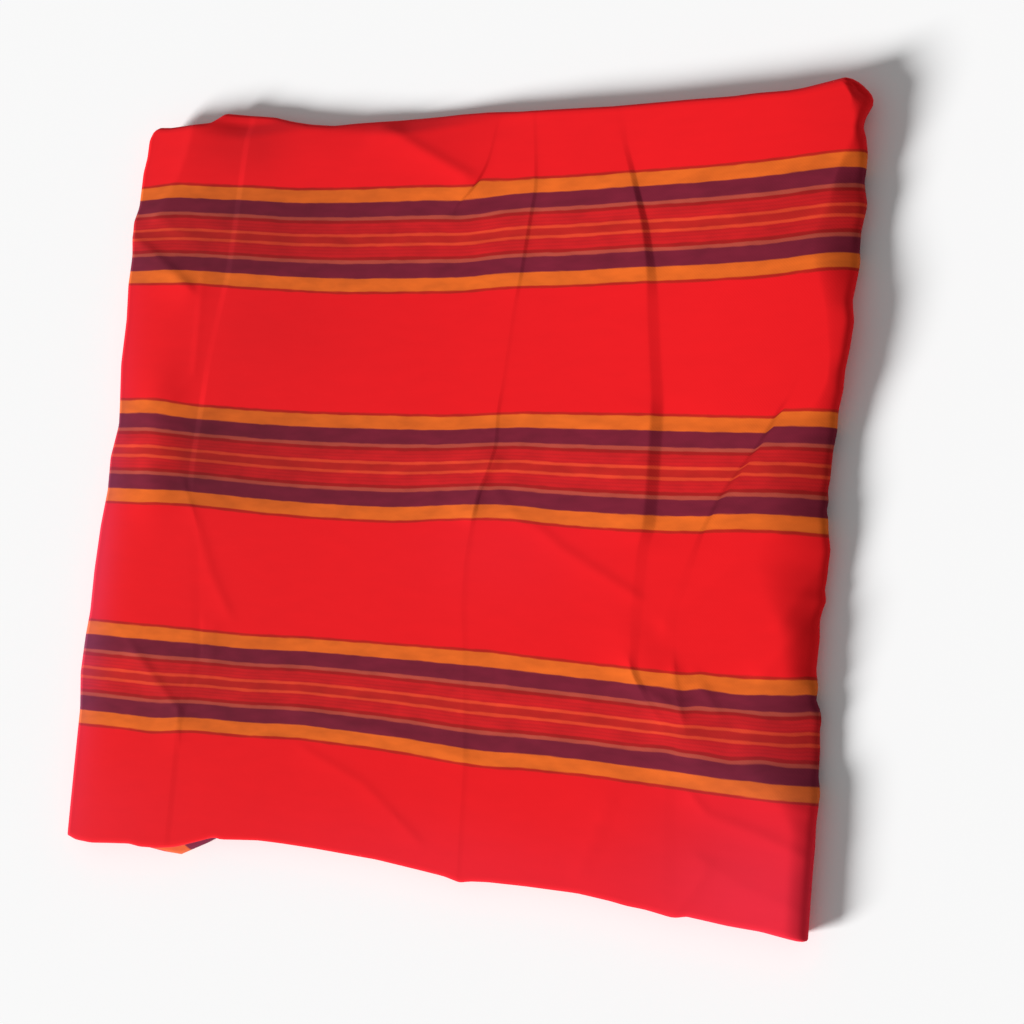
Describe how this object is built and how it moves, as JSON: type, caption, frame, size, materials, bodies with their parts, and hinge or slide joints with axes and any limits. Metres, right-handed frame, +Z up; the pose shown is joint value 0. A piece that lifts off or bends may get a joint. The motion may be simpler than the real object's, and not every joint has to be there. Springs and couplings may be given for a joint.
{
  "type": "maasai shuka blanket",
  "caption": "Woven striped wrap blanket, folded across its stripes and doubled over into a flat, slightly uneven square stack that rests on a surface.",
  "frame": {"origin": "under the middle of the folded blanket, on the surface that it rests on", "axes": "+X along the stripes towards the doubling fold, +Y across the stripes towards the far fold, +Z up out of the face"},
  "size_m": [0.714, 0.7006, 0.0249],
  "materials": {
    "woven_cloth": "matte plain weave, bright red with bands of orange, purple, tan and dark red stripes"
  },
  "bodies": {
    "root": {"blanket": "woven_cloth"}
  },
  "joints": []
}
